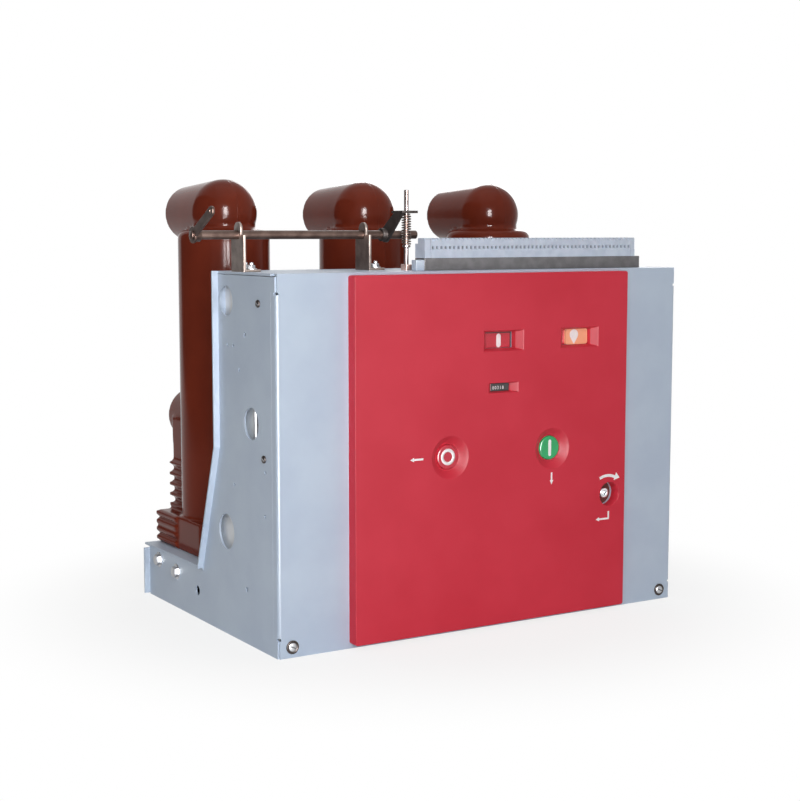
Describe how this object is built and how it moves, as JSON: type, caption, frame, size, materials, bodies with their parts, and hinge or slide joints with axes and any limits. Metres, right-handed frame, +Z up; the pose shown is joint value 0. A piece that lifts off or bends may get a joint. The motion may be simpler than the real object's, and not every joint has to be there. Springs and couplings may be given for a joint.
{
  "type": "fixed indoor vacuum circuit breaker",
  "caption": "Indoor vacuum circuit breaker: sheet-steel mechanism box with red control panel, moulded poles on a rear shelf, interlock shaft and terminal strip on top.",
  "frame": {"origin": "on the floor, at the middle of the foot between the side plates, 200 mm behind the front cover", "axes": "+X to the right seen from the front, +Y to the rear towards the terminals, +Z up"},
  "size_m": [0.6525, 0.441, 0.5557],
  "materials": {
    "painted_steel": "fine textured light grey enamel",
    "red_panel": "red moulded plastic, satin",
    "green_button": "green moulded plastic",
    "orange_flag": "orange printed plate",
    "black_plastic": "black plastic",
    "zinc_steel": "bright zinc plated steel",
    "dark_steel": "blackened steel",
    "yellow_zinc": "yellow passivated zinc",
    "rail_steel": "grey zinc plated steel",
    "pale_plastic": "pale grey polyamide",
    "epoxy": "red-brown cast epoxy, satin gloss",
    "terminal_metal": "silver plated copper"
  },
  "bodies": {
    "housing": {"front_cover": "painted_steel", "side_plate_left": "painted_steel", "side_plate_right": "painted_steel", "top_plate": "painted_steel", "back_plate": "painted_steel", "bottom_plate": "painted_steel", "rear_foot_plate": "painted_steel", "pole_shelf": "painted_steel", "inner_frame_left": "painted_steel", "inner_frame_right": "painted_steel", "front_panel": "red_panel", "position_indicator": "red_panel", "charge_indicator": "orange_flag", "operation_counter": "black_plastic", "spring_rod_left": "zinc_steel", "spring_rod_right": "zinc_steel", "foot_bolts": "zinc_steel", "bracket_left": "zinc_steel", "bracket_right": "zinc_steel", "bracket_bolts": "zinc_steel", "charging_bearing": "dark_steel", "front_screws": "dark_steel", "side_screws": "dark_steel", "rod_guide": "yellow_zinc", "strip_rail": "rail_steel", "terminal_strip": "pale_plastic", "strip_end_clamp": "pale_plastic", "pole_left": "epoxy", "pole_centre": "epoxy", "pole_right": "epoxy", "upper_terminal_left": "terminal_metal", "upper_terminal_centre": "terminal_metal", "upper_terminal_right": "terminal_metal", "lower_terminal_left": "terminal_metal", "lower_terminal_centre": "terminal_metal", "lower_terminal_right": "terminal_metal"},
    "trip_button": {"trip_button": "red_panel"},
    "close_button": {"close_button": "green_button"},
    "charging_shaft": {"charging_shaft": "zinc_steel"},
    "interlock": {"interlock_shaft": "zinc_steel", "lever_left": "zinc_steel", "lever_right": "dark_steel"},
    "push_rod": {"push_rod": "zinc_steel", "push_rod_spring": "zinc_steel"}
  },
  "joints": [
    {"name": "trip_press", "type": "slide", "parent": "housing", "child": "trip_button", "axis": [0, 1, 0], "range_m": [0, 0.004], "stiffness_N_per_m": 800, "springref_m": -0.004},
    {"name": "close_press", "type": "slide", "parent": "housing", "child": "close_button", "axis": [0, 1, 0], "range_m": [0, 0.004], "stiffness_N_per_m": 800, "springref_m": -0.004},
    {"name": "charging_turn", "type": "hinge", "parent": "housing", "child": "charging_shaft", "pos_m": [0.175, -0.2, 0.153], "axis": [0, 1, 0], "continuous": true},
    {"name": "interlock_turn", "type": "hinge", "parent": "housing", "child": "interlock", "pos_m": [-0.2, -0.103, 0.484], "axis": [1, 0, 0], "range_deg": [0, 20], "stiffness_Nm_per_rad": 2, "springref_deg": -20.05},
    {"name": "push_rod_slide", "type": "slide", "parent": "housing", "child": "push_rod", "axis": [0, 0, 1], "range_m": [-0.0136, 0]}
  ],
  "couplings": [
    {"joint": "push_rod_slide", "follows": "interlock_turn", "m_per_rad": -0.0385}
  ]
}
